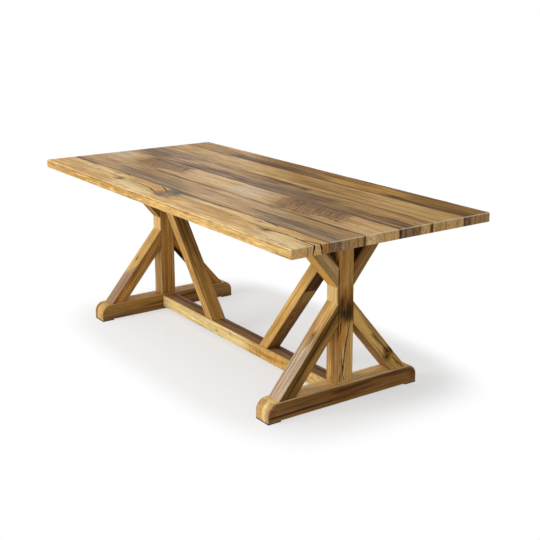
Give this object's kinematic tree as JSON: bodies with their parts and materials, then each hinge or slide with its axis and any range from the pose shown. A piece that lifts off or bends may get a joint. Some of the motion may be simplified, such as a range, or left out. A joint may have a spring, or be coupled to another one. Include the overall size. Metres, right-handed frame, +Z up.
{
  "type": "trestle dining table",
  "caption": "Long plank-top dining table on two K-braced trestles with sled feet, joined by a low stretcher and long diagonal braces.",
  "frame": {"origin": "on the floor, under the middle of the top", "axes": "+X along the table's length, +Y across it towards the rear, +Z up"},
  "size_m": [2.11, 0.95, 0.775],
  "materials": {
    "top_light": "satin oiled oak, light tan with knots and dark cracks",
    "top_dark": "satin oiled oak, brown to grey-brown with dark streaks",
    "frame_wood": "satin oiled oak, golden brown",
    "foot_wood": "satin oiled oak, dark brown streaked flanks",
    "dowel": "plain beech",
    "spline": "plain birch plywood",
    "pad": "matt dark brown",
    "steel": "zinc plated"
  },
  "bodies": {
    "root": {"top_board_1": "top_light", "top_board_2": "top_dark", "top_board_3": "top_light", "top_board_4": "top_dark", "top_board_5": "top_light", "top_board_6": "top_dark", "top_spline_1": "spline", "top_spline_2": "spline", "top_spline_3": "spline", "top_spline_4": "spline", "top_spline_5": "spline", "stretcher": "frame_wood", "left_foot": "foot_wood", "left_post": "frame_wood", "left_bearer": "frame_wood", "left_long_brace": "frame_wood", "left_lower_front_brace": "frame_wood", "left_upper_front_brace": "frame_wood", "left_front_pad": "pad", "left_lower_rear_brace": "frame_wood", "left_upper_rear_brace": "frame_wood", "left_rear_pad": "pad", "left_trestle_dowels": "dowel", "left_long_brace_dowels": "dowel", "left_post_bolts": "steel", "left_post_washers": "steel", "left_top_screws": "steel", "left_top_washers": "steel", "left_stretcher_screw": "steel", "left_pad_screws": "steel", "right_foot": "foot_wood", "right_post": "frame_wood", "right_bearer": "frame_wood", "right_long_brace": "frame_wood", "right_lower_front_brace": "frame_wood", "right_upper_front_brace": "frame_wood", "right_front_pad": "pad", "right_lower_rear_brace": "frame_wood", "right_upper_rear_brace": "frame_wood", "right_rear_pad": "pad", "right_trestle_dowels": "dowel", "right_long_brace_dowels": "dowel", "right_post_bolts": "steel", "right_post_washers": "steel", "right_top_screws": "steel", "right_top_washers": "steel", "right_stretcher_screw": "steel", "right_pad_screws": "steel"}
  },
  "joints": []
}
